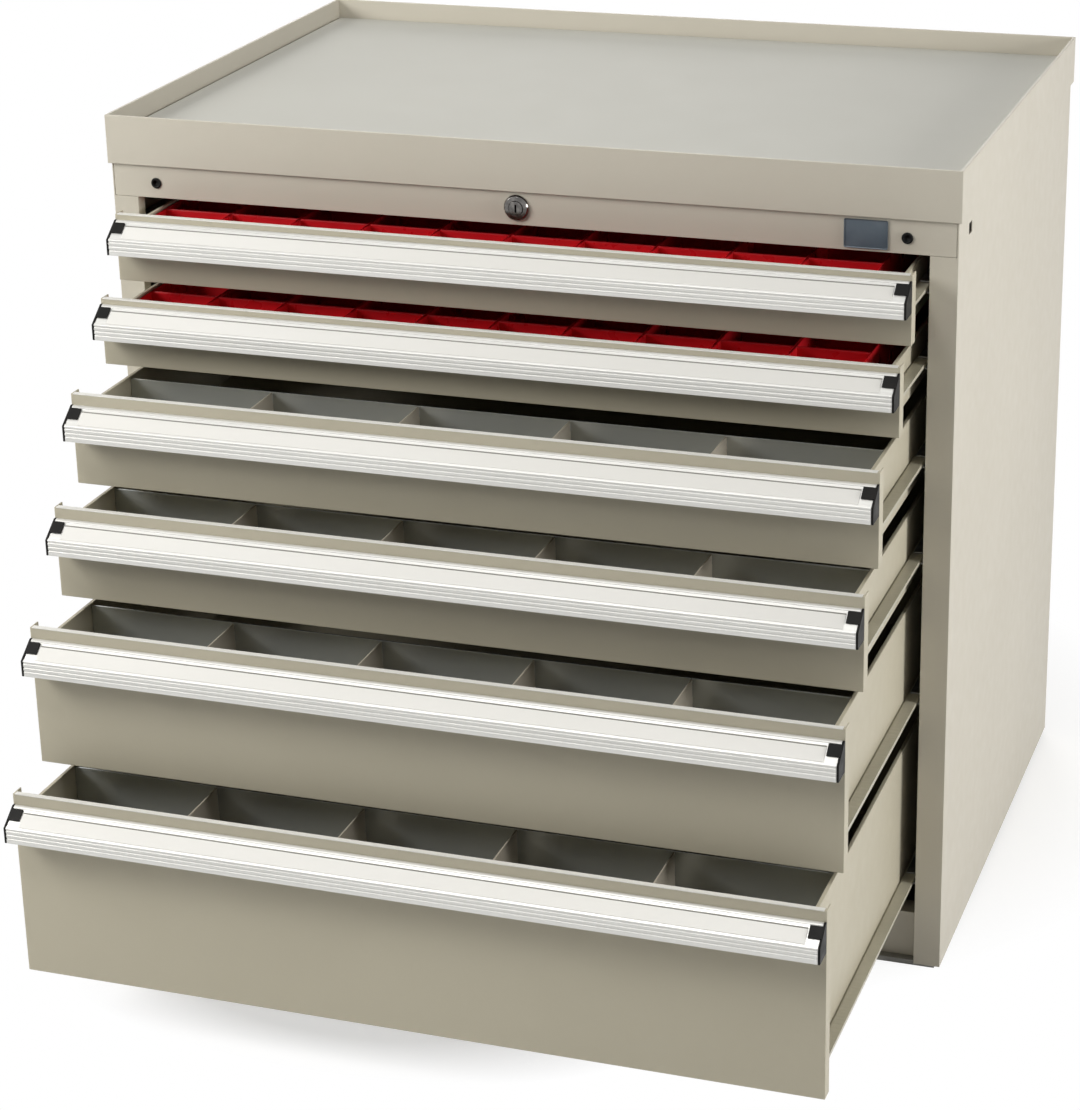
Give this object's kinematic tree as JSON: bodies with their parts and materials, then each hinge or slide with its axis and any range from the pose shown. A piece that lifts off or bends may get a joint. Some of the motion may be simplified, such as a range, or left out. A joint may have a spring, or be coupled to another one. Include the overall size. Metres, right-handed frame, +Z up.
{
  "type": "industrial drawer cabinet",
  "caption": "Free-standing steel workshop cabinet with a lipped tray top, full-width drawers on side rails with aluminium pull handles, and one central lock.",
  "frame": {"origin": "middle of the casing's footprint on the floor, at the underside of the base pan's middle rib", "axes": "+X to the right seen from the front, +Y to the back, +Z up. The drawers open along -Y."},
  "size_m": [0.876, 0.969, 0.838],
  "materials": {
    "casing": "fine-textured beige powder coat",
    "drawer_paint": "beige powder coat, semi-gloss",
    "aluminium": "clear anodised, satin",
    "black_plastic": "moulded, fine grain",
    "rail_steel": "beige coat, finely ribbed",
    "red_plastic": "moulded, semi-gloss",
    "divider_steel": "grey coated sheet",
    "runner_steel": "zinc plated",
    "nickel": "nickel plated, bright",
    "foot_grey": "light grey coat",
    "mat_grey": "smooth grey mat"
  },
  "bodies": {
    "cabinet": {"side_panel_left": "casing", "side_panel_right": "casing", "back_panel": "casing", "base_pan": "foot_grey", "plinth_rail": "casing", "fascia_rail": "casing", "top_tray": "casing", "top_mat": "mat_grey", "runner_frame_left": "runner_steel", "runner_frame_right": "runner_steel", "plug_left": "black_plastic", "plug_right": "black_plastic", "lock_barrel": "nickel", "lock_nut": "nickel"},
    "lock_plug": {"lock_plug": "nickel"},
    "locking_bar": {"locking_bar": "runner_steel"},
    "drawer_1": {"drawer_1_box": "drawer_paint", "drawer_1_handle": "aluminium", "drawer_1_cap_left": "black_plastic", "drawer_1_cap_right": "black_plastic", "drawer_1_rail_left": "rail_steel", "drawer_1_rail_right": "rail_steel", "drawer_1_bins": "red_plastic"},
    "drawer_2": {"drawer_2_box": "drawer_paint", "drawer_2_handle": "aluminium", "drawer_2_cap_left": "black_plastic", "drawer_2_cap_right": "black_plastic", "drawer_2_rail_left": "rail_steel", "drawer_2_rail_right": "rail_steel", "drawer_2_bins": "red_plastic"},
    "drawer_3": {"drawer_3_box": "drawer_paint", "drawer_3_handle": "aluminium", "drawer_3_cap_left": "black_plastic", "drawer_3_cap_right": "black_plastic", "drawer_3_rail_left": "rail_steel", "drawer_3_rail_right": "rail_steel", "drawer_3_dividers": "divider_steel"},
    "drawer_4": {"drawer_4_box": "drawer_paint", "drawer_4_handle": "aluminium", "drawer_4_cap_left": "black_plastic", "drawer_4_cap_right": "black_plastic", "drawer_4_rail_left": "rail_steel", "drawer_4_rail_right": "rail_steel", "drawer_4_dividers": "divider_steel"},
    "drawer_5": {"drawer_5_box": "drawer_paint", "drawer_5_handle": "aluminium", "drawer_5_cap_left": "black_plastic", "drawer_5_cap_right": "black_plastic", "drawer_5_rail_left": "rail_steel", "drawer_5_rail_right": "rail_steel", "drawer_5_dividers": "divider_steel"},
    "drawer_6": {"drawer_6_box": "drawer_paint", "drawer_6_handle": "aluminium", "drawer_6_cap_left": "black_plastic", "drawer_6_cap_right": "black_plastic", "drawer_6_rail_left": "rail_steel", "drawer_6_rail_right": "rail_steel", "drawer_6_dividers": "divider_steel"}
  },
  "joints": [
    {"name": "lock_turn", "type": "hinge", "parent": "cabinet", "child": "lock_plug", "pos_m": [0, -0.295, 0.7718], "axis": [0, 1, 0], "range_deg": [0, 90]},
    {"name": "locking_bar_slide", "type": "slide", "parent": "cabinet", "child": "locking_bar", "axis": [0, 0, -1], "range_m": [0, 0.008]},
    {"name": "drawer_1_slide", "type": "slide", "parent": "cabinet", "child": "drawer_1", "axis": [0, -1, 0], "range_m": [-0.058, 0.372]},
    {"name": "drawer_2_slide", "type": "slide", "parent": "cabinet", "child": "drawer_2", "axis": [0, -1, 0], "range_m": [-0.101, 0.329]},
    {"name": "drawer_3_slide", "type": "slide", "parent": "cabinet", "child": "drawer_3", "axis": [0, -1, 0], "range_m": [-0.176, 0.254]},
    {"name": "drawer_4_slide", "type": "slide", "parent": "cabinet", "child": "drawer_4", "axis": [0, -1, 0], "range_m": [-0.227, 0.203]},
    {"name": "drawer_5_slide", "type": "slide", "parent": "cabinet", "child": "drawer_5", "axis": [0, -1, 0], "range_m": [-0.293, 0.137]},
    {"name": "drawer_6_slide", "type": "slide", "parent": "cabinet", "child": "drawer_6", "axis": [0, -1, 0], "range_m": [-0.353, 0.077]}
  ],
  "couplings": [
    {"joint": "lock_turn", "follows": "locking_bar_slide", "rad_per_m": 196.34}
  ]
}
